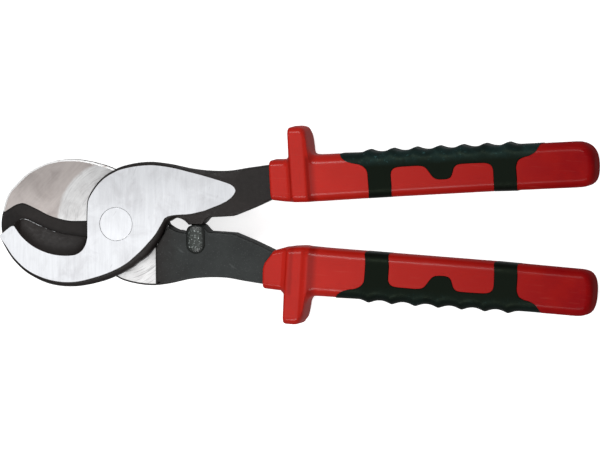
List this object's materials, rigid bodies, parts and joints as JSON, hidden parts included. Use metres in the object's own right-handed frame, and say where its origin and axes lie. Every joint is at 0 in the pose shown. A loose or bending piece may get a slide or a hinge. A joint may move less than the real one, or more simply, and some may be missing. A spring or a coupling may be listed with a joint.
{
  "type": "insulated cable cutters",
  "caption": "Insulated shear-type cable cutters: two crossed steel levers on a flush rivet, hooked jaws, red guarded sleeves and black soft grips.",
  "frame": {"origin": "on the rivet's axis, in the rivet's lower flush face", "axes": "+Z along the rivet towards the front lever's ground face, +X along the closed tool towards the handle ends, +Y towards the front lever's handle"},
  "size_m": [0.2506, 0.0818, 0.019],
  "materials": {
    "ground_steel": "brushed",
    "rivet_steel": "brushed",
    "forged_steel": "rough black",
    "red_insulation": "semi-gloss",
    "black_soft_grip": "satin"
  },
  "bodies": {
    "front_half": {"front_lever": "ground_steel", "pivot_rivet": "rivet_steel", "upper_sleeve": "red_insulation", "upper_grip": "black_soft_grip"},
    "rear_half": {"rear_lever": "ground_steel", "closing_stop": "forged_steel", "lower_sleeve": "red_insulation", "lower_grip": "black_soft_grip"}
  },
  "joints": [
    {"name": "jaw_pivot", "type": "hinge", "parent": "front_half", "child": "rear_half", "pos_m": [0, 0, 0.00615], "axis": [0, 0, -1], "range_deg": [0, 34]}
  ]
}
